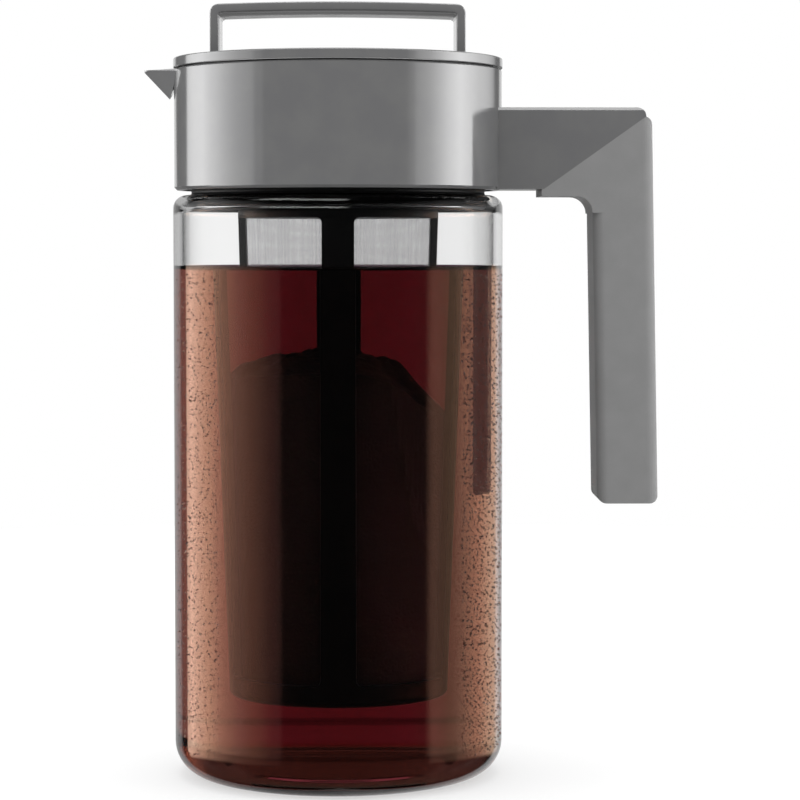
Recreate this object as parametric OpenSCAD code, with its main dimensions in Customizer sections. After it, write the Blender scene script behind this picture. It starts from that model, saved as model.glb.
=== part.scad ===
// Cold brew coffee maker: a one-quart clear jug with a push-in lid and a long hanging filter.
// The origin lies on the table under the middle of the jar, and +Z is up.
// The spout points to -X and the handle to +X. All sizes are in millimetres.

/* [Jar] */
// Outer radius of the jar's body
jar_r = 46; // [42:0.5:56]
// Height of the jar's body, from the table to its shoulder
jar_h = 162.3; // [150:0.1:190]
// Thickness of the jar's wall
jar_wall = 2.6; // [2:0.1:3.2]
// Thickness of the jar's floor over the hollow under it
floor_t = 2.6; // [2:0.1:5]
// Depth of the hollow under the floor, inside the foot ring
punt_depth = 1.2; // [0.6:0.1:2]
// Inner radius of the foot ring
foot_in_r = 26; // [20:0.5:28]
// Outer rounding between the jar's wall and its foot
base_round = 9.6; // [6:0.1:11]
// Outer rounding of the jar's shoulder
shoulder_round = 3.6; // [2:0.1:4.5]
// How far the neck is set in from the jar's wall
neck_step = 6.4; // [6:0.1:7.5]

/* [Collar] */
// Gap between the jar's shoulder and the collar
collar_gap = 1.4; // [0.8:0.1:2.5]
// Height of the collar
collar_h = 33.5; // [31:0.1:40]
// How far the collar's face is set in from the jar's wall
collar_inset = 0.3; // [0:0.1:1]
// Thickness of the collar's wall
collar_wall = 2.5; // [2:0.1:3]
// Depth of the well in the collar that takes the lid's skirt
well_depth = 11.2; // [10:0.1:12]
// Bevel along the collar's lower edge
lip_bevel = 0.8; // [0.3:0.1:1.2]

/* [Spout] */
// How far the spout's tip reaches past the collar
spout_reach = 8.2; // [5:0.1:12]
// Half the spout's width where it leaves the collar
spout_half_w = 10; // [7:0.5:13]
// How far the spout's keel drops below the collar's rim
spout_drop = 8; // [6:0.1:9.5]
// Thickness of the spout's sides
spout_wall = 1.5; // [1:0.1:2]

/* [Handle] */
// Width of the handle, across the jug
handle_w = 24; // [18:0.5:30]
// Height of the arm that carries the grip
arm_h = 22.5; // [18:0.5:26]
// Distance from the jar's wall to the end of the arm
arm_reach = 39; // [34:0.5:50]
// Height of the grip's lower end above the table
grip_low_z = 76.8; // [50:0.5:100]
// Thickness of the grip, from its finger side to its outer side
grip_t = 17; // [13:0.5:20]
// Lean of the grip, outwards towards its lower end
grip_lean = 1.1; // [0:0.1:3]
// Thickness of the soft layer over the handle's core
grip_skin = 3.6; // [2.5:0.1:4.5]

/* [Lid] */
// Thickness of the lid's cap
cap_t = 2.8; // [2:0.1:4]
// Height of the strap handle's underside over the cap
strap_clear = 12.5; // [9:0.1:25]
// Thickness of the strap handle
strap_t = 2.4; // [1.8:0.1:3.2]
// Depth of the strap handle, from front to back
strap_depth = 26; // [16:0.5:32]
// Half the distance across the strap handle's legs
strap_half_w = 35.1; // [30:0.1:36]
// Rise of the strap handle's crown
strap_crown = 0.75; // [0.2:0.05:2]
// Depth of the lid's stopper below the cap
stopper_depth = 37.5; // [34:0.5:40]
// Angle that the lid turns through, from pouring to closed
lid_swing = 90; // [45:5:120]

/* [Filter] */
// Outer radius of the filter's head
filter_r = 28; // [24:0.5:28]
// Outer radius of the filter at its lower end
filter_low_r = 24; // [18:0.5:24]
// Height of the filter's lower end above the table
filter_low_z = 22.4; // [18:0.1:40]
// Height of the top of the filter's windows above the table
window_top_z = 156; // [120:0.5:157]
// Thickness of the filter's frame
frame_t = 1.8; // [1.4:0.1:2.4]
// Width of each upright in the filter's frame
upright_w = 8.7; // [5:0.1:12]
// Rounding of the windows' corners
window_corner = 1.5; // [0.5:0.1:3]
// Thickness of the mesh
mesh_t = 0.4; // [0.3:0.1:0.8]

/* [Hidden] */
$fn = 96;
full_turn = 360;
eps = 0.01;
side_gap = 0.3;       // free play between pieces that move past each other
seal_play = 0.05;     // radial play of a seal in its bore
fit_gap = 0.1;        // play of a peg in its socket
seat_gap = 0.05;      // between the mesh and the frame that it is set in

// The stack, from the shoulder up
collar_low_z = jar_h + collar_gap;
collar_top_z = collar_low_z + collar_h;
shelf_t = 1.7;
shelf_top_z = collar_top_z - well_depth;
neck_top_z = shelf_top_z - shelf_t;
cap_low_z = collar_top_z + side_gap;
cap_top_z = cap_low_z + cap_t;

// Radii, from the jar's wall in
neck_wall = jar_wall;
neck_r = jar_r - neck_step;
neck_bore_r = neck_r - neck_wall;
collar_r = jar_r - collar_inset;
collar_in_r = collar_r - collar_wall;
cap_lap = 0.2;
cap_r = collar_r + cap_lap;

// Snap bead on the neck, and the catch in the collar under it
bead_h = 3;
bead_reach = 1.4;
bead_lift = 9.7;
bead_z = jar_h + bead_lift;
neck_seal_h = 3.7;
neck_seal_t = 1.7;
neck_groove_r = 0.8;
seal_top_z = jar_h + neck_seal_h;

// Spout
rim_drop = 0.2;
rim_z = collar_top_z - rim_drop;
keel_reach = 1.2;
keel_x = -(collar_r + keel_reach);
keel_half_w = 0.5;
keel_bevel = 1.1;
keel_bevel_w = 2.1;
beak_edge = 0.6;
beak_root = 1.6;

// Lid stopper
skirt_t = 1.8;
skirt_r = collar_in_r - side_gap;
skirt_lift = 2;
skirt_low_z = shelf_top_z + skirt_lift;
drum_t = 2.4;
drum_gap = 0.4;
drum_r = neck_bore_r - drum_gap;
drum_low_z = cap_low_z - stopper_depth;
plate_t = 1.8;
groove_drop = 8.3;
groove_z = neck_top_z - groove_drop;
groove_h = 3;
groove_depth = 1.2;
web_t = 1.6;
window_h = 5.7;
window_half_w = 9;

// Turn stop: a tab on the skirt runs in the gap of a rib on the shelf
tab_span = 12;
stop_gap = 0.7;
stop_start = 90 - tab_span / 2;
stop_h = 1.7;

// Filter joint: three helical ribs on the head hang on three in the stopper's socket
socket_t = 1.6;
socket_gap = 1.9;
socket_r = filter_r + socket_gap;
socket_depth = 21;
ceiling_z = drum_low_z + socket_depth;
ceiling_t = 2;
lead = 24;
starts = 3;
rib_h = 2;
rib_reach = 1.3;
rib_root = 0.3;
socket_rib_span = 60;
head_rib_span = 50;
rib_steps = 12;
rib_lift = 5;
rib_low_z = drum_low_z + rib_lift;
head_drop = 2.5;
head_top_z = ceiling_z - head_drop;
filter_seal_h = head_drop - fit_gap;

// Filter body
rim_low_h = 6;
base_plate_t = 2;
base_round_r = 2;
base_bar_w = 3;
base_rim_w = 7;
base_open_r = filter_low_r - base_rim_w;

// Handle
arm_lift = 0.2;
arm_low_z = collar_low_z + arm_lift;
arm_top_z = arm_low_z + arm_h;
arm_end_x = jar_r + arm_reach;
arm_root = 4;
arm_start_x = collar_in_r - arm_root;
arm_corner = 2.5;
arm_bevel = 0.8;
seam_start = 10.8;
seam_low_x = jar_r + seam_start;
seam_top_z = arm_top_z - arm_corner;
grip_proud = 1.9;
grip_out_x = arm_end_x + grip_proud;
grip_in_x = grip_out_x - grip_t;
grip_under_z = arm_low_z - grip_proud;
grip_fillet = 4.6;
grip_corner = 2.5;
grip_edge = 3;
core_end = 5;
core_low_z = grip_low_z + core_end;

// Strap handle
foot_h = 0.9;
foot_flare = 0.7;
strap_corner = 2.4;
peg_t = 1.4;
peg_w = strap_depth * 0.7;

// Points along an arc, from angle a0 to a1
function arc(centre, r, a0, a1, n = 8) =
    [for (i = [0 : n]) let (a = a0 + (a1 - a0) * i / n) centre + r * [cos(a), sin(a)]];

// Outer radius of the tapered filter at height z
function filter_radius(z) =
    filter_low_r + (filter_r - filter_low_r) * (z - filter_low_z) / (window_top_z - filter_low_z);

// Half profile of a turned solid with rounded outer edges: x is the radius, y the height
module turned_profile(r, z0, z1, low_round, high_round) {
    polygon(concat(
        [[0, z0]],
        arc([r - low_round, z0 + low_round], low_round, -90, 0),
        arc([r - high_round, z1 - high_round], high_round, 0, 90),
        [[0, z1]]));
}

// Rectangle in a half profile, between two radii and two heights
module band(r0, r1, z0, z1) {
    translate([r0, z0]) square([r1 - r0, z1 - z0]);
}

// Upright ring between two radii and two heights
module ring(r0, r1, z0, z1) {
    rotate_extrude() band(r0, r1, z0, z1);
}

// Part of a ring, from angle a0 over a span
module ring_sector(r0, r1, z0, z1, a0, span) {
    rotate([0, 0, a0]) rotate_extrude(angle = span) band(r0, r1, z0, z1);
}

// Slab with an outline in the XZ plane, centred on the plane y = 0
module slab(depth) {
    rotate([90, 0, 0]) linear_extrude(height = depth, center = true) children();
}

// Rib that climbs round the axis: square in section, from angle 0 over a span
module helical_rib(r0, r1, height, span) {
    section = [[r0, 0], [r1, 0], [r1, height], [r0, height]];
    points = [for (i = [0 : rib_steps], p = section)
        let (a = span * i / rib_steps)
        [p[0] * cos(a), p[0] * sin(a), p[1] + lead * a / 360]];
    sides = [for (i = [0 : rib_steps - 1], k = [0 : 3])
        [4 * i + k, 4 * i + (k + 1) % 4, 4 * (i + 1) + (k + 1) % 4, 4 * (i + 1) + k]];
    ends = [[3, 2, 1, 0], [for (k = [0 : 3]) 4 * rib_steps + k]];
    polyhedron(points, concat(sides, ends), convexity = 4);
}

// ---------------------------------------------------------------- Jar

module jar() {
    color([0.75, 0.8, 0.82, 0.4])
    rotate_extrude() difference() {
        union() {
            turned_profile(jar_r, 0, jar_h, base_round, shoulder_round);
            band(neck_bore_r, neck_r, jar_h - jar_wall, neck_top_z);
            band(neck_bore_r, neck_r + bead_reach, bead_z, bead_z + bead_h);
        }
        turned_profile(jar_r - jar_wall, punt_depth + floor_t, jar_h - jar_wall,
            base_round - jar_wall, shoulder_round - jar_wall / 2);
        band(0, neck_bore_r, jar_h - 2 * jar_wall, neck_top_z + eps);
        polygon([[0, -eps], [foot_in_r, -eps], [foot_in_r - 2 * punt_depth, punt_depth], [0, punt_depth]]);
    }
}

// Soft ring between the shoulder and the collar, stretched round the neck
module neck_seal() {
    color([0.06, 0.06, 0.06])
    rotate_extrude() difference() {
        band(neck_r, neck_r + neck_seal_t, jar_h, seal_top_z);
        translate([neck_r + neck_seal_t + neck_groove_r / 2, (jar_h + collar_low_z) / 2])
            circle(r = neck_groove_r);
    }
}

// ---------------------------------------------------------------- Collar, spout and arm

// The spout: a V-shaped beak whose keel is bevelled on both sides
module beak() {
    tip_x = -(collar_r + spout_reach);
    root_x = -(collar_r - beak_root);
    low_z = rim_z - spout_drop;
    hull() {
        translate([0, 0, rim_z - beak_edge]) linear_extrude(height = beak_edge)
            polygon([[tip_x, -keel_half_w], [tip_x, keel_half_w],
                [root_x, spout_half_w], [root_x, -spout_half_w]]);
        slab(2 * keel_half_w)
            polygon([[tip_x, rim_z], [tip_x, rim_z - beak_edge], [keel_x, low_z], [root_x, rim_z]]);
        slab(2 * keel_bevel_w)
            polygon([[tip_x + keel_bevel, rim_z], [keel_x + keel_bevel / 2, low_z + keel_bevel],
                [root_x, rim_z]]);
    }
}

// The open channel down the spout, through the collar's wall
module channel() {
    tip_x = -(collar_r + spout_reach) + 2 * spout_wall;
    root_x = -(collar_in_r - 1);
    half_w = spout_half_w - 1.3 * spout_wall;
    top_z = collar_top_z + 1;
    floor_z = rim_z - spout_drop / 2;
    hull() {
        translate([0, 0, top_z - beak_edge]) linear_extrude(height = beak_edge)
            polygon([[tip_x, -keel_half_w], [tip_x, keel_half_w], [root_x, half_w], [root_x, -half_w]]);
        slab(2 * keel_half_w)
            polygon([[tip_x, top_z], [tip_x, rim_z - beak_edge], [keel_x, floor_z],
                [root_x, floor_z], [root_x, top_z]]);
    }
}

// The arm: flat-sided, bevelled along the top, cut along the seam with the grip
module arm() {
    intersection() {
        slab(handle_w)
            polygon(concat(
                [[arm_start_x, arm_low_z], [seam_low_x, arm_low_z], [arm_end_x, seam_top_z]],
                arc([arm_end_x - arm_corner, arm_top_z - arm_corner], arm_corner, 0, 90),
                [[arm_start_x, arm_top_z]]));
        translate([0, 0, arm_low_z]) rotate([90, 0, 90]) linear_extrude(height = arm_end_x)
            polygon([[-handle_w / 2, -eps], [handle_w / 2, -eps],
                [handle_w / 2, arm_h - arm_bevel], [handle_w / 2 - arm_bevel, arm_h],
                [-handle_w / 2 + arm_bevel, arm_h], [-handle_w / 2, arm_h - arm_bevel]]);
    }
}

// The stiff core that runs down inside the grip
module handle_core() {
    length = seam_top_z - core_low_z - grip_corner;
    core_t = grip_t - 2 * grip_skin;
    core_w = handle_w - 2 * grip_skin;
    shift = tan(grip_lean);
    x_top = grip_in_x + grip_skin;
    slab(core_w)
        polygon([[x_top, seam_top_z - grip_corner], [x_top + core_t, seam_top_z - grip_corner],
            [x_top + core_t + shift * length, core_low_z], [x_top + shift * length, core_low_z]]);
}

module collar() {
    rib_start = stop_start + tab_span + stop_gap + lid_swing;
    rib_span = full_turn - tab_span - 2 * stop_gap - lid_swing;
    color([0.43, 0.43, 0.43])
    difference() {
        union() {
            difference() {
                union() {
                    rotate_extrude() polygon([
                        [collar_in_r - 1, collar_low_z], [collar_r - lip_bevel, collar_low_z],
                        [collar_r, collar_low_z + lip_bevel], [collar_r, collar_top_z - lip_bevel / 2],
                        [collar_r - lip_bevel / 2, collar_top_z], [collar_in_r - 1, collar_top_z]]);
                    arm();
                    beak();
                }
                ring(0, collar_in_r, 0, collar_top_z + 1);
            }
            handle_core();
            ring(neck_bore_r + side_gap, collar_in_r + eps, neck_top_z, shelf_top_z);
            ring(neck_r + side_gap, collar_in_r + eps, seal_top_z, bead_z - side_gap);
            ring_sector(skirt_r - skirt_t, collar_in_r + eps, shelf_top_z - eps,
                shelf_top_z + stop_h, rib_start, rib_span);
        }
        channel();
    }
}

// Soft sleeve over the handle's core: an upright bar and a wedge under the arm
module grip() {
    rise = seam_top_z - grip_low_z;
    shift = tan(grip_lean) * rise;
    low_in_x = grip_in_x + shift;
    low_out_x = grip_out_x + shift;
    color([0.51, 0.51, 0.51])
    difference() {
        intersection() {
            slab(handle_w)
                polygon(concat(
                    [[seam_low_x - 0.6, arm_low_z - eps], [seam_low_x - 0.6, grip_under_z]],
                    arc([grip_in_x - grip_fillet + 0.4, grip_under_z - grip_fillet], grip_fillet, 90, 0),
                    arc([low_in_x + grip_corner, grip_low_z + grip_corner], grip_corner, 180, 270),
                    arc([low_out_x - grip_corner, grip_low_z + grip_corner], grip_corner, -90, 0),
                    arc([grip_out_x - grip_corner, seam_top_z - grip_corner], grip_corner, 0, 70),
                    [[arm_end_x, seam_top_z], [seam_low_x, arm_low_z]]));
            union() {
                multmatrix([[1, 0, -tan(grip_lean), tan(grip_lean) * seam_top_z],
                    [0, 1, 0, 0], [0, 0, 1, 0]])
                    translate([grip_in_x + grip_t / 2, 0, 0])
                    linear_extrude(height = arm_top_z)
                    rounded_rectangle(grip_t, handle_w, grip_edge);
                translate([arm_start_x, -handle_w / 2, grip_under_z - grip_fillet])
                    cube([grip_in_x + grip_t / 2 - arm_start_x, handle_w, arm_h]);
            }
        }
        arm();
        handle_core();
    }
}

module rounded_rectangle(x, y, r) {
    polygon(concat(
        arc([x / 2 - r, y / 2 - r], r, 0, 90), arc([-x / 2 + r, y / 2 - r], r, 90, 180),
        arc([-x / 2 + r, -y / 2 + r], r, 180, 270), arc([x / 2 - r, -y / 2 + r], r, 270, 360)));
}

// ---------------------------------------------------------------- Lid

// Outline of the strap handle in the XZ plane, shrunk by inset for its inner side
module strap_outline(inset) {
    half_w = strap_half_w - inset;
    top_z = cap_top_z + strap_clear + strap_t - inset;
    corner = inset > 0 ? 0.8 : strap_corner;
    crown_r = (half_w * half_w + strap_crown * strap_crown) / (2 * strap_crown);
    intersection() {
        polygon(concat(
            [[half_w, cap_top_z]],
            arc([half_w - corner, top_z - corner - strap_crown], corner, 0, 90),
            [for (i = [0 : 1]) [(half_w - corner) * (1 - 2 * i), top_z]],
            arc([-half_w + corner, top_z - corner - strap_crown], corner, 90, 180),
            [[-half_w, cap_top_z]]));
        translate([0, top_z - crown_r]) circle(r = crown_r, $fn = 360);
    }
}

module lid_handle() {
    color([0.43, 0.43, 0.43]) {
        slab(strap_depth) difference() {
            strap_outline(0);
            strap_outline(strap_t);
        }
        for (side = [-1, 1]) {
            strap_mid_x = side * (strap_half_w - strap_t / 2);
            translate([strap_mid_x, 0, cap_top_z + foot_h / 2])
                cube([strap_t + 2 * foot_flare, strap_depth + 2 * foot_flare, foot_h], center = true);
            translate([strap_mid_x, 0, cap_top_z + eps - cap_t / 2])
                cube([peg_t, peg_w, cap_t], center = true);
        }
    }
}

module lid_cap() {
    spigot_t = 2;
    spigot_h = 4;
    color([0.43, 0.43, 0.43])
    difference() {
        union() {
            rotate_extrude() turned_profile(cap_r, cap_low_z, cap_top_z, 0.3, 0.5);
            ring(socket_r - side_gap - spigot_t, socket_r - side_gap, cap_low_z - spigot_h, cap_low_z + eps);
        }
        for (side = [-1, 1])
            translate([side * (strap_half_w - strap_t / 2), 0, cap_top_z - cap_t / 2])
                cube([peg_t + 2 * fit_gap, peg_w + 2 * fit_gap, cap_t + 2], center = true);
    }
}

// Stopper: an outer skirt for the collar's well, a drum for the neck and a socket for the filter
module lid_stopper() {
    window_z = cap_low_z - plate_t - window_h;
    color([0.07, 0.07, 0.07])
    union() {
        difference() {
            rotate_extrude() difference() {
                union() {
                    band(socket_r, skirt_r, cap_low_z - plate_t, cap_low_z);
                    band(skirt_r - skirt_t, skirt_r, skirt_low_z, cap_low_z);
                    band(drum_r - drum_t, drum_r, drum_low_z, cap_low_z);
                    band(socket_r, socket_r + socket_t, drum_low_z + 1, cap_low_z);
                    band(0, socket_r + socket_t / 2, ceiling_z, ceiling_z + ceiling_t);
                }
                band(drum_r - groove_depth, drum_r + 1, groove_z, groove_z + groove_h);
            }
            translate([-skirt_r - 1, -window_half_w, window_z])
                cube([skirt_r + 1 - socket_r - socket_t - 0.5, 2 * window_half_w, window_h]);
        }
        for (a = [45 : 90 : 315]) rotate([0, 0, a])
            translate([socket_r + socket_t - 0.2, -web_t / 2, drum_low_z + 3])
                cube([drum_r - drum_t - socket_r - socket_t + 0.4, web_t, cap_low_z - drum_low_z - 4]);
        ring_sector(skirt_r - skirt_t + 0.2, skirt_r - 0.2, shelf_top_z + side_gap, skirt_low_z + 1,
            stop_start, tab_span);
        for (k = [0 : starts - 1]) rotate([0, 0, 360 * k / starts])
            translate([0, 0, rib_low_z])
                helical_rib(socket_r - rib_reach, socket_r + rib_root, rib_h, socket_rib_span);
    }
}

module lid_seal() {
    color([0.55, 0.55, 0.55])
    rotate_extrude() translate([0, groove_z + fit_gap])
        translate([drum_r - groove_depth + seal_play, 0])
            square([neck_bore_r - drum_r + groove_depth - 2 * seal_play, groove_h - 2 * fit_gap]);
}

// ---------------------------------------------------------------- Filter

// Soft ring between the filter's head and the socket's ceiling
module filter_seal() {
    color([0.55, 0.55, 0.55])
    ring(filter_r - frame_t, filter_r + side_gap, head_top_z, head_top_z + filter_seal_h);
}

// Prism that leaves an upright's edge straight and rounds the corners of the windows beside it
module window_prism() {
    window_low_z = filter_low_z + rim_low_h;
    slab(2 * (filter_r + window_corner))
        translate([(upright_w + filter_r) / 2, (window_low_z + window_top_z) / 2])
        rounded_rectangle(filter_r, window_top_z - window_low_z, window_corner);
}

module filter_frame() {
    head_rib_z = rib_low_z + rib_h + side_gap;
    rib_lag = (socket_rib_span - head_rib_span) / 2;
    color([0.07, 0.07, 0.07])
    union() {
        difference() {
            rotate_extrude() difference() {
                polygon(concat(
                    [[base_open_r, filter_low_z]],
                    arc([filter_low_r - base_round_r, filter_low_z + base_round_r], base_round_r, -90, 0),
                    [[filter_r, window_top_z], [filter_r, head_top_z], [0, head_top_z],
                    [0, filter_low_z + base_plate_t], [base_open_r, filter_low_z + base_plate_t]]));
                filter_space(0);
            }
            for (a = [0 : 90 : 270]) rotate([0, 0, a]) intersection() {
                window_prism();
                rotate([0, 0, 90]) window_prism();
            }
        }
        for (a = [0, 90]) rotate([0, 0, a])
            translate([-base_open_r - 1, -base_bar_w / 2, filter_low_z])
                cube([2 * base_open_r + 2, base_bar_w, base_plate_t]);
        for (k = [0 : starts - 1]) rotate([0, 0, 360 * k / starts + rib_lag])
            translate([0, 0, head_rib_z + lead * rib_lag / 360])
                helical_rib(filter_r - rib_root, filter_r + rib_reach, rib_h, head_rib_span);
    }
}

// Half profile of the space inside the filter's frame, shrunk by inset
module filter_space(inset) {
    low_z = filter_low_z + base_plate_t;
    wall = frame_t + inset;
    polygon([[0, low_z + inset], [filter_radius(low_z + inset) - wall, low_z + inset],
        [filter_r - wall, window_top_z], [filter_r - wall, head_top_z + 1], [0, head_top_z + 1]]);
}

module filter_mesh() {
    mesh_top_z = window_top_z + 4;
    mesh_low_z = filter_low_z + base_plate_t + mesh_t + 2 * seat_gap;
    color([0.8, 0.8, 0.78])
    rotate_extrude() intersection() {
        difference() {
            filter_space(seat_gap);
            filter_space(seat_gap + mesh_t);
        }
        band(0, filter_r, mesh_low_z, mesh_top_z);
    }
}

module filter_base_mesh() {
    low_z = filter_low_z + base_plate_t;
    color([0.8, 0.8, 0.78])
    rotate_extrude() intersection() {
        filter_space(seat_gap);
        band(0, filter_r, low_z + seat_gap, low_z + seat_gap + mesh_t);
    }
}

jar();
neck_seal();
collar();
grip();
lid_cap();
lid_handle();
lid_stopper();
lid_seal();
filter_seal();
filter_frame();
filter_mesh();
filter_base_mesh();
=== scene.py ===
"""Cold brew coffee maker: the visual pieces, finishes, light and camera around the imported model."""
import math
import random

import bmesh
import bpy
from mathutils import Matrix, Vector, noise

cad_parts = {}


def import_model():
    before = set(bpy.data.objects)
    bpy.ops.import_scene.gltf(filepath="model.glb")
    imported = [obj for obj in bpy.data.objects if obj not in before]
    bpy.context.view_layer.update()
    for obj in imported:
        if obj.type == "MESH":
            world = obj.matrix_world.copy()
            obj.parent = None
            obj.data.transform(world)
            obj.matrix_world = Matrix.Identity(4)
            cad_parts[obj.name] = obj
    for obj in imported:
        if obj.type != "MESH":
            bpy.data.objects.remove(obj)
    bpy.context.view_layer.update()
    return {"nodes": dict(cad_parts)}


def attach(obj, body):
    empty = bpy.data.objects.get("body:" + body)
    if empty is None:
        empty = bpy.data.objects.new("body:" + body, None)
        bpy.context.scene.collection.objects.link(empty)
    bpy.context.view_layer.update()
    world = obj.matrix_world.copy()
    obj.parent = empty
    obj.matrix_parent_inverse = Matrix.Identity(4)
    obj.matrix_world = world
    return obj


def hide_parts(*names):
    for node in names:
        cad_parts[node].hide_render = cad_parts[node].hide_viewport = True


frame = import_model()
nodes = frame["nodes"]

MM = 0.001

# Sizes of the model, in millimetres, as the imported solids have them
JAR_R, JAR_WALL, JAR_H = 46.0, 2.6, 162.3
FLOOR_Z, PUNT, FOOT_IN_R = 3.8, 1.2, 26.0
FLOOR_CORNER_R, FLOOR_CORNER_REACH = 7.0, 7.8
HEEL_R, HEEL_REACH, SHOULDER_R, SHOULDER_REACH = 9.6, 10.4, 3.6, 4.4
SHOULDER_IN_R, SHOULDER_IN_REACH = 2.3, 3.0
NECK_R, NECK_BORE_R, NECK_TOP_Z = 39.6, 37.0, 184.3
BEAD_R, BEAD_Z, BEAD_H = 41.0, 172.0, 3.0
LIQUID_Z = 141.7
FILTER_LOW_Z, FILTER_LOW_R, FILTER_R, WINDOW_TOP_Z = 22.4, 24.0, 28.0, 156.0
GROUNDS_Z = 119.0
CAP_TOP_Z = 200.3
STRAP_HALF_W, STRAP_T, STRAP_DEPTH, STRAP_TOP_Z, STRAP_CROWN = 35.1, 2.4, 26.0, 215.2, 0.75
STRAP_OUTER_R, STRAP_INNER_R, FOOT_MARGIN, FOOT_H = 2.4, 0.8, 1.4, 0.9


# ---------------------------------------------------------------- Shader maths

class Graph:
    """One material's or world's node tree."""

    def __init__(self, tree):
        self.tree = tree
        tree.nodes.clear()

    def node(self, kind, settings=None, **sockets):
        made = self.tree.nodes.new(kind)
        for name, value in (settings or {}).items():
            if name == "stops":
                ramp = made.color_ramp
                while len(ramp.elements) < len(value):
                    ramp.elements.new(0.5)
                for element, (place, colour) in zip(ramp.elements, value):
                    element.position, element.color = place, (*colour, 1)
            else:
                setattr(made, name, value)
        for name, value in sockets.items():
            key = int(name[1:]) if name[0] == "i" and name[1:].isdigit() else name.replace("_", " ")
            self.feed(made.inputs[key], value)
        return made

    def feed(self, socket, value):
        if isinstance(value, Value):
            value = value.socket
        if isinstance(value, bpy.types.NodeSocket):
            self.tree.links.new(value, socket)
        elif socket.type == "RGBA" and not isinstance(value, (int, float)):
            socket.default_value = (*value, 1)
        else:
            socket.default_value = value

    def value(self, socket):
        return Value(self, socket)


class Value:
    """A socket that takes part in Python expressions: each one adds its Math node."""

    def __init__(self, graph, socket):
        self.graph, self.socket = graph, socket

    def math(self, operation, *others):
        made = self.graph.node("ShaderNodeMath", {"operation": operation})
        for i, value in enumerate((self, *others)):
            self.graph.feed(made.inputs[i], value)
        return Value(self.graph, made.outputs[0])

    def __add__(self, other): return self.math("ADD", other)
    def __radd__(self, other): return self.math("ADD", other)
    def __sub__(self, other): return self.math("SUBTRACT", other)
    def __mul__(self, other): return self.math("MULTIPLY", other)
    def __rmul__(self, other): return self.math("MULTIPLY", other)
    def __truediv__(self, other): return self.math("DIVIDE", other)
    def __abs__(self): return self.math("ABSOLUTE")

    def __rsub__(self, other):
        made = self.graph.node("ShaderNodeMath", {"operation": "SUBTRACT"}, i0=other, i1=self)
        return Value(self.graph, made.outputs[0])

    def step(self, low, high):
        """0 below low, 1 above high, smooth between; low may be above high."""
        made = self.graph.node("ShaderNodeMapRange", {"interpolation_type": "SMOOTHSTEP"},
                               Value=self, From_Min=low, From_Max=high)
        return Value(self.graph, made.outputs[0])

    def ramp(self, *stops):
        """Colour along the value: each stop is a place and a linear colour or a grey."""
        full = [(place, c if isinstance(c, tuple) else (c, c, c)) for place, c in stops]
        made = self.graph.node("ShaderNodeValToRGB", {"stops": full}, Fac=self)
        return Value(self.graph, made.outputs[0])


def sRGB(*levels):
    """Linear colour of an sRGB colour with levels from 0 to 255."""
    unit = [level / 255 for level in levels]
    return tuple(u / 12.92 if u <= 0.04045 else ((u + 0.055) / 1.055) ** 2.4 for u in unit)


def new_material(name, slot):
    """Empty material and its graph; the slot is the one of the record that the material dresses."""
    material = bpy.data.materials.new(name)
    material.use_nodes = True
    material["slot"] = slot
    return material, Graph(material.node_tree)


def place(g):
    """Object coordinates of the point, in millimetres: the vector and its three values."""
    coordinates = g.node("ShaderNodeTexCoord").outputs["Object"]
    scaled = g.node("ShaderNodeVectorMath", {"operation": "SCALE"}, i0=coordinates, Scale=1 / MM)
    split = g.node("ShaderNodeSeparateXYZ", Vector=scaled.outputs[0])
    return scaled.outputs[0], *(g.value(split.outputs[i]) for i in range(3))


def grain(g, vector, scale, detail=2.0, roughness=0.5):
    """Noise from 0 to 1 with features of about 1 / scale millimetres."""
    made = g.node("ShaderNodeTexNoise", Vector=vector, Scale=scale, Detail=detail, Roughness=roughness)
    return g.value(made.outputs["Fac"])


def crumbs(g, vector, scale):
    """Distance to the nearest of random points that stand about 1 / scale millimetres apart."""
    return g.value(g.node("ShaderNodeTexVoronoi", Vector=vector, Scale=scale).outputs["Distance"])


def bump(g, height, strength, depth):
    """Normal of a relief whose height runs from 0 to 1 over depth millimetres."""
    made = g.node("ShaderNodeBump", Strength=strength, Distance=depth * MM, Height=height)
    return made.outputs["Normal"]


def tinted(g, factor, low, high):
    """Colour between low and high by factor."""
    made = g.node("ShaderNodeMix", {"data_type": "RGBA"})
    g.feed(made.inputs["Factor"], factor)
    g.feed(made.inputs[6], low)
    g.feed(made.inputs[7], high)
    return made.outputs[2]


def surface(g, volume=None, **sockets):
    """Surface shader, with a linear colour and a density of absorption inside where there is a volume."""
    shader = g.node("ShaderNodeBsdfPrincipled", **sockets)
    out = g.node("ShaderNodeOutputMaterial", Surface=shader.outputs[0])
    if volume:
        colour, density = volume
        absorb = g.node("ShaderNodeVolumeAbsorption", Color=colour, Density=density)
        g.feed(out.inputs["Volume"], absorb.outputs[0])


# ---------------------------------------------------------------- Finishes

def gloss_grey():
    """Polished grey plastic with the faint orange peel and haze of a moulded skin."""
    m, g = new_material("gloss_grey", "grey_plastic")
    vector = place(g)[0]
    haze = grain(g, vector, 0.12, 3)
    peel = grain(g, vector, 0.9, 2)
    fine = grain(g, vector, 9.0, 2)
    colour = tinted(g, haze.step(0.3, 0.7), sRGB(107, 107, 108), sRGB(111, 111, 111))
    surface(g, Base_Color=colour, Roughness=0.07 + haze * 0.04 + fine * 0.03, IOR=1.47,
            Normal=bump(g, peel * 0.8 + fine * 0.2, 0.12, 0.02))
    return m


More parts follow.
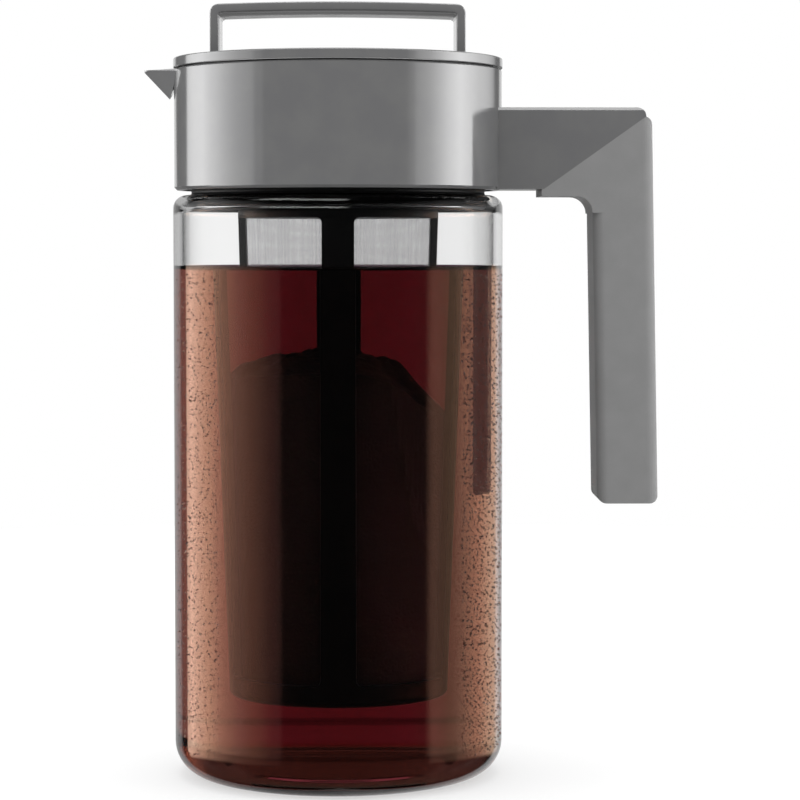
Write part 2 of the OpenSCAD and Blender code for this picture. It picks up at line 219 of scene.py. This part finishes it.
def soft_grip():
    """Matte soft-touch rubber with a fine sanded grain."""
    m, g = new_material("soft_grip", "grip_rubber")
    vector = place(g)[0]
    speck = grain(g, vector, 6.0, 3, 0.7)
    cloud = grain(g, vector, 0.15, 3)
    colour = tinted(g, (speck * 0.6 + cloud * 0.4).step(0.3, 0.7), sRGB(126, 126, 126), sRGB(134, 134, 134))
    surface(g, Base_Color=colour, Roughness=0.62 + speck * 0.16, IOR=1.45, Sheen_Weight=0.08,
            Sheen_Roughness=0.5, Normal=bump(g, speck, 0.5, 0.05))
    return m


def satin_black(name, slot, level, rough):
    """Black moulded plastic or silicone with a satin texture."""
    m, g = new_material(name, slot)
    vector = place(g)[0]
    fine = grain(g, vector, 5.0, 3, 0.6)
    haze = grain(g, vector, 0.2, 2)
    colour = tinted(g, haze, sRGB(level, level, level), sRGB(level + 6, level + 6, level + 6))
    surface(g, Base_Color=colour, Roughness=rough + fine * 0.14, IOR=1.46, Specular_IOR_Level=0.1,
            Normal=bump(g, fine, 0.3, 0.03))
    return m


def grey_silicone():
    """Grey silicone of the two sealing rings."""
    m, g = new_material("ring_silicone", "grey_silicone")
    vector = place(g)[0]
    fine = grain(g, vector, 4.0, 3, 0.6)
    colour = tinted(g, fine, sRGB(146, 147, 149), sRGB(156, 157, 158))
    surface(g, Base_Color=colour, Roughness=0.42 + fine * 0.15, IOR=1.42, Normal=bump(g, fine, 0.25, 0.03))
    return m


def clear_wall():
    """Clear moulded wall: a faint grey absorption, a slow ripple, and in its foot a painted red that stands in for
    light coming through the drink.
    """
    m, g = new_material("clear_wall", "clear_plastic")
    vector, _, _, z = place(g)
    ripple = grain(g, vector, 0.05, 2)
    # Painted light: the foot's colour turns the drink's red below 4.5 mm, in place of the light that the drink
    # passes into it
    colour = tinted(g, z.step(1.5, 4.5), (0.66, 0.25, 0.14), (1, 1, 1))
    surface(g, volume=((0.80, 0.81, 0.81), 26.0), Base_Color=colour, Roughness=0.0, IOR=1.49,
            Specular_Tint=(0.6, 0.6, 0.6), Transmission_Weight=1.0, Normal=bump(g, ripple, 1.0, 0.003))
    return m


def dew_water():
    """Clear water of the beads."""
    m, g = new_material("dew_water", "clear_plastic")
    surface(g, Base_Color=(1, 1, 1), Roughness=0.0, IOR=1.333, Transmission_Weight=1.0)
    return m


def coffee_liquid():
    """Cold coffee: light turns red, then dark, on its way through."""
    m, g = new_material("cold_coffee", "clear_plastic")
    surface(g, volume=((0.532, 0.14, 0.046), 50.0), Base_Color=(1, 1, 1), Roughness=0.0, IOR=1.27,
            Specular_Tint=(0.2, 0.2, 0.2), Transmission_Weight=1.0)
    return m


def wet_grounds():
    """Dark, wet ground coffee."""
    m, g = new_material("wet_grounds", "black_plastic")
    vector = place(g)[0]
    crumb = crumbs(g, vector, 1.1)
    fine = grain(g, vector, 3.0, 4, 0.7)
    colour = tinted(g, fine.step(0.3, 0.7), sRGB(8, 7, 7), sRGB(26, 20, 17))
    surface(g, Base_Color=colour, Roughness=0.5 + fine * 0.3, IOR=1.36,
            Normal=bump(g, fine * 0.5 - crumb * 0.5, 0.8, 0.6))
    return m


def woven(name, flat):
    """Fine woven mesh: threads cross every fifth of a millimetre, and the gaps between them are open."""
    m, g = new_material(name, "mesh")
    vector, x, y, z = place(g)
    pitch, mean_r = 0.2, (FILTER_LOW_R + FILTER_R) / 2
    in_gap, on_thread, when_wet = 0.05, 0.35, 0.35     # opacities
    across, along = (x, y) if flat else (y.math("ARCTAN2", x) * mean_r, z)
    across, along = across * (math.pi / pitch), along * (math.pi / pitch)
    warp, weft = abs(across.math("COSINE")), abs(along.math("COSINE"))
    thread = warp.math("MAXIMUM", weft).step(0.88, 0.98)     # 1 on a thread, 0 in a gap
    over = (across.math("SINE") * along.math("SINE")) * 0.5 + 0.5
    dry = 0.0 if flat else z.step(LIQUID_Z, LIQUID_Z + 1.5)
    # Painted shade: threads are lighter where they ride over a crossing and darker where they dip under it
    colour = tinted(g, dry, sRGB(14, 12, 11), tinted(g, over, sRGB(196, 196, 201), sRGB(216, 216, 220)))
    surface(g, Base_Color=colour, Roughness=0.5, IOR=1.45, Normal=bump(g, over * thread, 0.6, 0.06),
            Alpha=(thread * on_thread + in_gap) * (when_wet + dry * (1 - when_wet)))
    return m


GREY = gloss_grey()
GRIP = soft_grip()
BLACK = satin_black("satin_black", "black_plastic", 5, 0.3)
SEAL_BLACK = satin_black("seal_black", "black_silicone", 8, 0.38)
RING = grey_silicone()
CLEAR = clear_wall()
COFFEE = coffee_liquid()
WATER = dew_water()
GROUNDS = wet_grounds()
WEAVE = woven("woven_wall", False)
WEAVE_BASE = woven("woven_base", True)

for name, material in {"collar": GREY, "grip": GRIP, "lid_cap": GREY, "lid_handle": GREY,
                       "lid_stopper": BLACK, "neck_seal": SEAL_BLACK, "lid_seal": RING,
                       "filter_seal": RING, "filter_frame": BLACK, "filter_mesh": WEAVE,
                       "filter_base_mesh": WEAVE_BASE}.items():
    for material_slot in nodes[name].material_slots:
        material_slot.material = material


# ---------------------------------------------------------------- Shapes

SMOOTH_ANGLE = math.radians(32)
TURN_STEPS = 192


def piece(bm, name, material, body, replaced=()):
    """Makes the mesh an object of the model, in metres, that rides on a body."""
    bmesh.ops.scale(bm, vec=(MM, MM, MM), verts=bm.verts)
    bmesh.ops.recalc_face_normals(bm, faces=bm.faces)
    mesh = bpy.data.meshes.new(name)
    bm.to_mesh(mesh)
    bm.free()
    mesh.materials.append(material)
    mesh.shade_smooth()
    mesh.set_sharp_from_angle(angle=SMOOTH_ANGLE)
    made = bpy.data.objects.new(name, mesh)
    bpy.context.scene.collection.objects.link(made)
    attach(made, body)
    if replaced:
        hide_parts(*replaced)


def points(geom):
    return [v for v in geom if isinstance(v, bmesh.types.BMVert)]


def lines(geom):
    return [e for e in geom if isinstance(e, bmesh.types.BMEdge)]


def soften(bm, geom, offset, segments, affect, **options):
    """Rounds corners or edges over."""
    bmesh.ops.bevel(bm, geom=geom, offset=offset, offset_type="OFFSET", segments=segments, profile=0.5,
                    affect=affect, material=-1, **options)


def turned(corners):
    """Turns a half profile round the axis. Each corner is a radius, a height and a rounding."""
    bm = bmesh.new()
    verts = [bm.verts.new((r, 0, z)) for r, z, _ in corners]
    bm.faces.new(verts)
    roundings = {}
    for vert, corner in zip(verts, corners):
        if corner[2]:
            roundings.setdefault(corner[2], []).append(vert)
    for rounding, group in roundings.items():
        soften(bm, group, rounding, max(3, min(14, round(3 + rounding))), "VERTICES")
    bmesh.ops.delete(bm, geom=list(bm.faces), context="FACES_ONLY")
    on_axis = [e for e in bm.edges if all(abs(v.co.x) < 1e-6 for v in e.verts)]
    bmesh.ops.delete(bm, geom=on_axis, context="EDGES")
    bmesh.ops.spin(bm, geom=list(bm.verts) + list(bm.edges), cent=(0, 0, 0), axis=(0, 0, 1),
                   angle=math.tau, steps=TURN_STEPS, use_merge=True, use_duplicate=False)
    bmesh.ops.remove_doubles(bm, verts=bm.verts, dist=1e-4)
    return bm


def jar():
    """The clear wall in one smooth skin. The corners without a rounding keep its shading straight."""
    inner_r = JAR_R - JAR_WALL
    corners = [
        (0, PUNT, 0), (FOOT_IN_R - 2 * PUNT, PUNT, 1.0), (FOOT_IN_R, 0, 0.6), (JAR_R, 0, HEEL_R),
        (JAR_R, HEEL_REACH, 0), (JAR_R, JAR_H - SHOULDER_REACH, 0), (JAR_R, JAR_H, SHOULDER_R),
        (NECK_R, JAR_H, 0.5), (NECK_R, BEAD_Z, 0.3), (BEAD_R, BEAD_Z, 0.5),
        (BEAD_R, BEAD_Z + BEAD_H, 0.5), (NECK_R, BEAD_Z + BEAD_H, 0.3), (NECK_R, NECK_TOP_Z, 0.7),
        (NECK_BORE_R, NECK_TOP_Z, 0.7), (NECK_BORE_R, JAR_H - JAR_WALL, 1.2),
        (inner_r, JAR_H - JAR_WALL, SHOULDER_IN_R), (inner_r, JAR_H - JAR_WALL - SHOULDER_IN_REACH, 0),
        (inner_r, FLOOR_Z + FLOOR_CORNER_REACH, 0),
        (inner_r, FLOOR_Z, FLOOR_CORNER_R), (inner_r - FLOOR_CORNER_REACH, FLOOR_Z, 0), (0, FLOOR_Z, 0)]
    piece(turned(corners), "jar_wall", CLEAR, "jug", ["jar"])


def coffee():
    """The drink: it wets the wall, so its skin lies a hair inside the wall's own thickness."""
    skin, creep = 0.06, 1.1
    wet_r, wet_z = JAR_R - JAR_WALL + skin, FLOOR_Z - skin
    corners = [(0, wet_z, 0), (wet_r - FLOOR_CORNER_REACH, wet_z, 0), (wet_r, wet_z, FLOOR_CORNER_R),
               (wet_r, FLOOR_Z + FLOOR_CORNER_REACH, 0), (wet_r, LIQUID_Z + creep - 0.5, 0),
               (wet_r, LIQUID_Z + creep, 0), (wet_r - creep, LIQUID_Z, 0.9), (0, LIQUID_Z, 0)]
    piece(turned(corners), "coffee", COFFEE, "jug")


def filter_radius(z):
    """Outer radius of the tapering filter."""
    return FILTER_LOW_R + (FILTER_R - FILTER_LOW_R) * (z - FILTER_LOW_Z) / (WINDOW_TOP_Z - FILTER_LOW_Z)


def grounds():
    """Steeped grounds that fill the filter to an uneven top."""
    inset, low_z = 2.5, FILTER_LOW_Z + 3.0
    low_r, high_r = filter_radius(low_z) - inset, filter_radius(GROUNDS_Z) - inset
    steps, rings = 64, 22
    bm = bmesh.new()
    bmesh.ops.create_circle(bm, cap_ends=False, radius=low_r, segments=steps,
                            matrix=Matrix.Translation((0, 0, low_z)))
    low_edges = list(bm.edges)
    side = bmesh.ops.extrude_edge_only(bm, edges=low_edges)["geom"]
    bmesh.ops.scale(bm, vec=(high_r / low_r, high_r / low_r, 1), verts=points(side))
    bmesh.ops.translate(bm, vec=(0, 0, GROUNDS_Z - low_z), verts=points(side))
    top_edges = lines(side)
    for ring in range(1, rings):
        shrink = (rings - ring) / (rings - ring + 1)
        made = bmesh.ops.extrude_edge_only(bm, edges=top_edges)["geom"]
        top_edges = lines(made)
        bmesh.ops.scale(bm, vec=(shrink, shrink, 1), verts=points(made))
    bmesh.ops.contextual_create(bm, geom=top_edges)
    bmesh.ops.contextual_create(bm, geom=low_edges)
    # The top is lumpy, calmer at the wall, and falls off most on the handle side
    lump_size, lump_height, calm_width = 0.11, 2.6, 3
    spout_drop, handle_drop, front_drop = 7.0, 19.0, 5.0
    for v in bm.verts:
        if v.co.z > low_z + 1:
            flat = Vector((v.co.x, v.co.y, 0))
            lumps = noise.fractal(flat * lump_size + Vector((3, 7, 0)), 0.8, 2.0, 4)
            edge = min(1.0, (high_r - flat.length) / calm_width)
            drop = ((handle_drop if flat.x > 0 else spout_drop) * (flat.x / high_r) ** 2
                    + front_drop * (flat.y / high_r) ** 2)
            v.co.z += lumps * lump_height * (0.3 + 0.7 * edge) - drop
    piece(bm, "grounds", GROUNDS, "filter")


def strap():
    """Strap handle: a flat band bent into a low arch on two feet, with its edges rounded over."""
    low, high = CAP_TOP_Z + 0.5, STRAP_TOP_Z - STRAP_CROWN
    outer, inner = STRAP_HALF_W, STRAP_HALF_W - STRAP_T
    bm = bmesh.new()
    corners = [(-outer, low, 0), (-outer, high, STRAP_OUTER_R), (outer, high, STRAP_OUTER_R), (outer, low, 0),
               (inner, low, 0), (inner, high - STRAP_T, STRAP_INNER_R),
               (-inner, high - STRAP_T, STRAP_INNER_R), (-inner, low, 0)]
    verts = [bm.verts.new((x, -STRAP_DEPTH / 2, z)) for x, z, _ in corners]
    bm.faces.new(verts)
    for rounding in (STRAP_OUTER_R, STRAP_INNER_R):
        soften(bm, [v for v, corner in zip(verts, corners) if corner[2] == rounding], rounding, 6, "VERTICES")
    long_edges = [e for e in bm.edges if abs(e.verts[0].co.x - e.verts[1].co.x) > outer]
    bmesh.ops.subdivide_edges(bm, edges=long_edges, cuts=23)
    for v in bm.verts:
        if v.co.z > high - STRAP_T - 0.01:
            v.co.z += STRAP_CROWN * (1 - (v.co.x / outer) ** 2)
    pushed = bmesh.ops.extrude_face_region(bm, geom=list(bm.faces))["geom"]
    bmesh.ops.translate(bm, vec=(0, STRAP_DEPTH, 0), verts=points(pushed))
    rims = [e for e in bm.edges if abs(e.verts[0].co.y - e.verts[1].co.y) < 0.01]
    soften(bm, rims, 0.5, 3, "EDGES", clamp_overlap=True)
    foot_size = Matrix.Diagonal((STRAP_T + FOOT_MARGIN, STRAP_DEPTH + FOOT_MARGIN, FOOT_H, 1))
    for side in (-1, 1):
        at = Matrix.Translation((side * (outer - STRAP_T / 2), 0, CAP_TOP_Z + FOOT_H / 2))
        foot = bmesh.ops.create_cube(bm, size=1, matrix=at @ foot_size)["verts"]
        soften(bm, list({e for v in foot for e in v.link_edges}), 0.3, 2, "EDGES")
    piece(bm, "strap_handle", GREY, "lid", ["lid_handle"])


# Where the first and last beads stand to the side in jar radii, how many are tried, their largest radius,
# and the half of the wall that they are on: 1 in front, -1 behind
DEW = ((0.725, 0.985, 4200, 0.42, 1), (-0.965, -0.70, 1500, 0.36, 1),
       (0.65, 0.985, 700, 0.36, -1), (-0.985, -0.65, 500, 0.3, -1))
BEAD_PITCH, BEADS_LOW_Z, BEADS_SPAN, CHUNK = 1.05, 9, LIQUID_Z - 10, 100


def dew():
    """Condensation: small beads on the cold wall, thick on the handle side and finer on the spout side."""
    rng = random.Random(11)
    whole, taken = bmesh.new(), set()
    for first, last, count, largest, half in DEW:
        towards_edge = 0.8 if first > 0 else 1.1
        for _ in range(count // CHUNK):
            bm = bmesh.new()
            for _ in range(CHUNK):
                across = first + (last - first) * rng.random() ** towards_edge
                z = BEADS_LOW_Z + BEADS_SPAN * rng.random()
                radius = largest * (0.55 + 0.45 * rng.random() ** 1.5)
                turn = rng.uniform(0, math.tau)
                spot = (half, round(across * JAR_R / BEAD_PITCH), round(z / BEAD_PITCH))
                if spot in taken:
                    continue
                taken.add(spot)
                at = (JAR_R * across, -JAR_R * half * math.sqrt(1 - across * across), z)
                bmesh.ops.create_icosphere(bm, subdivisions=1, radius=radius, matrix=Matrix.Translation(at)
                                           @ Matrix.Rotation(turn, 4, "Z"))
            beads = bpy.data.meshes.new("beads")
            bm.to_mesh(beads)
            bm.free()
            whole.from_mesh(beads)
            bpy.data.meshes.remove(beads)
    piece(whole, "dew", WATER, "jug")


jar()
coffee()
grounds()
strap()
dew()


# ---------------------------------------------------------------- Camera

# Fitted to the photograph: place in millimetres, how far it looks down and aside in degrees, and its lens
CAMERA_X, CAMERA_BACK, CAMERA_H = 3.0, 784.0, 148.3
PITCH, YAW = 3.16, 1.045
FOCAL_PX, PICTURE_PX, SENSOR = 2795.0, 800.0, 36.0

camera_data = bpy.data.cameras.new("camera")
camera_data.sensor_width = SENSOR
camera_data.lens = FOCAL_PX * SENSOR / PICTURE_PX
camera_data.clip_start, camera_data.clip_end = 0.01, 20
camera = bpy.data.objects.new("camera", camera_data)
camera.location = (CAMERA_X * MM, -CAMERA_BACK * MM, CAMERA_H * MM)
camera.rotation_euler = (math.radians(90 - PITCH), 0, math.radians(-YAW))
bpy.context.scene.collection.objects.link(camera)
bpy.context.scene.camera = camera
bpy.context.scene.view_settings.view_transform = "Standard"


# ---------------------------------------------------------------- Floor, light and world

# The soft boxes' level by the angle from the front, in degrees
LEFT_BOX = ((0, 0), (52, 0), (54, 0.8), (59, 0.9), (61, 2.3), (75, 3.9), (93, 7.0), (108, 8.0), (120, 5.6),
            (128, 3.6), (130, 3.2), (132, 0))
RIGHT_BOX = ((0, 0), (49, 0), (51, 0.8), (54, 1.0), (56, 2.6), (66, 4.2), (83, 9.6), (94, 11.0), (104, 7.8),
             (116, 4.6), (140, 0.9), (144, 0))
BOX_PEAK = 11.0
# The warm glow that the clear wall mirrors beside the drink: an angle from the front and a linear colour
LEFT_GLOW = ((0, 0), (40, 0), (41.5, (0.27, 0.13, 0.115)), (48, (0.42, 0.17, 0.135)), (58, (0.9, 0.4, 0.27)),
             (63, (1.13, 0.49, 0.325)), (75, (1.75, 0.83, 0.59)), (89, (2.9, 1.42, 0.95)), (105, (4.3, 2.4, 1.55)),
             (125, (4.3, 2.85, 2.1)), (131, (3.7, 2.4, 1.75)), (133, 0))
RIGHT_GLOW = ((0, 0), (65, 0), (67, (0.8, 0.41, 0.28)), (72, (1.15, 0.58, 0.4)), (77, (0.96, 0.49, 0.33)),
              (87, (0.96, 0.56, 0.35)), (94, (1.35, 0.77, 0.5)), (104, (2.05, 1.05, 0.66)),
              (116, (2.5, 1.2, 0.75)), (132, (2.5, 1.5, 1.0)), (142, (1.9, 1.25, 0.88)), (150, (0.8, 0.7, 0.6)),
              (156, 0))
GLOW_PEAK = 4.3
# The light behind the drink by the angle from straight behind it, towards the handle and towards the spout
TENT_HANDLE = ((0, (0.42, 0.13, 0.28)), (10, (0.42, 0.13, 0.28)), (18, (0.42, 0.36, 0.4)), (25, 0.55), (33, 0.75),
               (40, 0.8), (48, 0.6), (60, 0.5), (90, 0.5))
TENT_SPOUT = ((0, (0.42, 0.13, 0.28)), (10, (0.42, 0.13, 0.28)), (18, (0.3, 0.26, 0.28)), (25, 0.25), (45, 0.25),
              (60, 0.4), (90, 0.5))
# Levels of the room in matt pieces and in the clear wall, of the light on matt surfaces, and of the wall's rims
ROOM, ROOM_GLASS, DIFFUSE_LEVEL, RIM_LEFT, RIM_RIGHT = 0.10, 0.02, 1.05, 0.5, 0.75
BOX_IN_GLASS, BOX_IN_GLASS_LESS = 0.15, 0.11
CARD, OVERHEAD, BEHIND_HIGH, BEHIND_LOW = 5.5, 5.0, 0.9, 0.12
FROM_FLOOR, FROM_FLOOR_ASIDE = 2.5, 8
DEEP_LIGHT, LIFTED_GLOW = 0.24, 0.75
# Shares of the light that are lost: seen through the empty jug, on top of that towards its handle, and under
# the jug; and in the light behind the drink, low down and under the jug
AIR_LOSS, AIR_LOSS_HANDLE, UNDER_LOSS, DRINK_LOW_LOSS, DRINK_UNDER_LOSS = 0.05, 0.09, 0.9, 0.45, 0.8
# Steps over the height of a direction, 1 straight up, each from where it is 0 to where it is 1
BOX_TOP, BOX_FOOT = (0.72, 0.5), (-0.34, -0.22)
CARD_FOOT, FLOOR_RIM = (0.82, 0.90), (-0.55, -0.80)
OVERHEAD_FOOT, OVERHEAD_TOP = (0.70, 0.78), (0.94, 0.90)
HORIZON_BLUR, DEEP_FOOT, BELOW = 0.03, (0.0, 0.06), (-0.006, -0.010)
LIFTED_FOOT, LIFTED_TOP = (0.03, 0.09), (0.42, 0.30)
UNDER_JUG, DRINK_LOW = (-0.181, -0.189), (-0.1725, -0.175)
# Steps over its angle from the front, 1 straight behind, and over its parts to the side and to the back
BEHIND, BACKLIGHT = (0.85, 0.88), (0.78, 0.82)
HANDLE_SIDE, CARD_ASIDE, RIM_ASIDE = (-0.02, 0.02), (0.55, 0.42), (-0.1, 0.1)
OVERHEAD_ASIDE, OVERHEAD_BACK = (0.12, 0.05), (0.0, -0.2)
FLOOR_R, PAPER, PAPER_GLOW = 0.7, 0.42, 0.56
LAMP_TARGET = (0, 0, 0.11)


def floor_material():
    """White paper that takes a soft shadow and is otherwise as light as the backdrop."""
    m, g = new_material("floor_white", "")
    paper = g.node("ShaderNodeBsdfDiffuse", Color=(PAPER, PAPER, PAPER))
    path = g.node("ShaderNodeLightPath")
    seen = g.value(path.outputs["Is Camera Ray"]).math("MAXIMUM", g.value(path.outputs["Is Transmission Ray"]))
    glow = g.node("ShaderNodeEmission", Color=(1, 1, 1), Strength=seen * PAPER_GLOW)
    both = g.node("ShaderNodeAddShader", i0=paper.outputs[0], i1=glow.outputs[0])
    g.node("ShaderNodeOutputMaterial", Surface=both.outputs[0])
    return m


def floor():
    """Pale table under the jug."""
    bm = bmesh.new()
    bmesh.ops.create_circle(bm, cap_ends=True, radius=FLOOR_R, segments=96)
    mesh = bpy.data.meshes.new("floor")
    bm.to_mesh(mesh)
    bm.free()
    mesh.materials.append(floor_material())
    made = bpy.data.objects.new("floor", mesh)
    made.visible_glossy = made.visible_transmission = False
    bpy.context.scene.collection.objects.link(made)


def world():
    """White backdrop, and the soft boxes and the dim room that the plastics and the clear wall reflect."""
    w = bpy.data.worlds.new("studio")
    bpy.context.scene.world = w
    w.use_nodes = True
    g = Graph(w.node_tree)
    path = g.node("ShaderNodeLightPath")
    ray = {name: g.value(path.outputs[name]) for name in (
        "Is Camera Ray", "Is Glossy Ray", "Is Transmission Ray", "Is Singular Ray", "Glossy Depth",
        "Diffuse Depth", "Transmission Depth")}
    direction = g.node("ShaderNodeTexCoord").outputs["Generated"]
    split = g.node("ShaderNodeSeparateXYZ", Vector=direction)
    x, y, z = (g.value(split.outputs[i]) for i in range(3))
    flat = (x * x + y * y).math("SQRT")
    turn = (0 - y / flat).math("ARCCOSINE") / math.pi     # 0 in front, 1 behind
    side, side_x = x.step(*HANDLE_SIDE), abs(x)

    def by_angle(value, scale, peak, stops):
        """Level or colour along an angle, divided by its peak because a ramp holds no more than 1."""
        return value.ramp(*((angle / scale, tuple(c / peak for c in level) if isinstance(level, tuple)
                             else level / peak) for angle, level in stops))

    # What the surfaces mirror
    tall = z.step(*BOX_TOP) * z.step(*BOX_FOOT)
    boxes = g.value(tinted(g, side, by_angle(turn, 180, BOX_PEAK, LEFT_BOX),
                           by_angle(turn, 180, BOX_PEAK, RIGHT_BOX))) * tall * BOX_PEAK
    glow = tinted(g, side, by_angle(turn, 180, GLOW_PEAK, LEFT_GLOW), by_angle(turn, 180, GLOW_PEAK, RIGHT_GLOW))
    behind = turn.step(*BEHIND)
    card = z.step(*CARD_FOOT) * side_x.step(*CARD_ASIDE) * CARD
    from_floor = z.step(*FLOOR_RIM) * (FROM_FLOOR + side_x * FROM_FLOOR_ASIDE)
    matt_room = (ROOM + boxes + card + from_floor + behind * z.step(-HORIZON_BLUR, 0.0) * BEHIND_HIGH
                 + behind * z.step(0.0, -HORIZON_BLUR) * BEHIND_LOW)
    rim = RIM_LEFT + x.step(*RIM_ASIDE) * (RIM_RIGHT - RIM_LEFT)
    overhead = (z.step(*OVERHEAD_FOOT) * z.step(*OVERHEAD_TOP) * y.step(*OVERHEAD_BACK)
                * x.step(*OVERHEAD_ASIDE) * OVERHEAD)
    below = z.step(*BELOW)
    # Rays that the foot passes on from inside to inside arrive after many walls: they see the dark table
    deep = ray["Transmission Depth"].math("GREATER_THAN", 3.5)
    backlight = rim * (1 - deep) + deep * z.step(*DEEP_FOOT) * DEEP_LIGHT
    clear_room = (ROOM_GLASS + overhead + turn.step(*BACKLIGHT) * backlight
                  + boxes * (1 - below) * (BOX_IN_GLASS - side * BOX_IN_GLASS_LESS))

    # Which ray it is: seen straight or through clear pieces, mirrored, or scattered by a matt surface
    unscattered = 1 - ray["Diffuse Depth"].math("MINIMUM", 1)
    bounced = ray["Glossy Depth"].math("MINIMUM", 1)
    seen = ray["Is Camera Ray"].math("MAXIMUM", ray["Is Transmission Ray"]) * (1 - bounced) * unscattered
    mirrored = ray["Is Glossy Ray"] * unscattered * (1 - seen)
    singular = ray["Is Singular Ray"]
    # How many clear surfaces it crossed: the wall's edge only, the empty jug above the drink, or the drink
    in_rim = ray["Transmission Depth"].math("COMPARE", 2, 0.5)
    in_air = ray["Transmission Depth"].math("COMPARE", 4, 0.5)
    in_drink = ray["Transmission Depth"].math("GREATER_THAN", 4.5)
    aside = abs(y / flat).math("ARCCOSINE") / math.pi * 2
    tent = tinted(g, side, by_angle(aside, 90, 1, TENT_SPOUT), by_angle(aside, 90, 1, TENT_HANDLE))
    # Under the jug it is dark: only rays that leave the foot point so far down
    under = z.step(*UNDER_JUG) * ray["Is Transmission Ray"]
    backdrop = ((1 + in_rim * (rim - 1) - in_air * (AIR_LOSS + side * AIR_LOSS_HANDLE) - in_drink)
                * (1 - under * UNDER_LOSS))
    plain = g.node("ShaderNodeBackground", Color=(1, 1, 1), Strength=seen * backdrop
                   + mirrored * (matt_room * (1 - singular) + clear_room * singular)
                   + (1 - seen - mirrored) * DIFFUSE_LEVEL)
    # The jug's floor mirrors the glow once more, towards rays that leave upwards
    lifted = deep * z.step(*LIFTED_FOOT) * z.step(*LIFTED_TOP) * LIFTED_GLOW
    warm = g.node("ShaderNodeBackground", Color=glow,
                  Strength=mirrored * singular * (below + lifted) * tall * GLOW_PEAK)
    low_dim = (1 - z.step(*DRINK_LOW) * DRINK_LOW_LOSS) * (1 - under * DRINK_UNDER_LOSS)
    drink = g.node("ShaderNodeBackground", Color=tent, Strength=seen * in_drink * low_dim)
    two = g.node("ShaderNodeAddShader", i0=plain.outputs[0], i1=warm.outputs[0])
    three = g.node("ShaderNodeAddShader", i0=two.outputs[0], i1=drink.outputs[0])
    g.node("ShaderNodeOutputWorld", Surface=three.outputs[0])


def lamp(name, at, size, power):
    """Soft box that lights matt surfaces and that nothing mirrors; its size is in metres, its power in watts."""
    data = bpy.data.lights.new(name, "AREA")
    data.shape = "RECTANGLE"
    data.size, data.size_y = size
    data.energy = power
    made = bpy.data.objects.new(name, data)
    made.location = at
    made.rotation_euler = (Vector(LAMP_TARGET) - Vector(at)).to_track_quat("-Z", "Y").to_euler()
    made.visible_glossy = made.visible_transmission = False
    bpy.context.scene.collection.objects.link(made)


floor()
world()
lamp("left_box", (-0.9, -0.35, 0.45), (0.5, 0.8), 1.8)
lamp("right_box", (0.9, -0.35, 0.45), (0.5, 0.8), 1.8)
lamp("top_box", (0, 0.1, 1.1), (0.7, 0.7), 3.4)
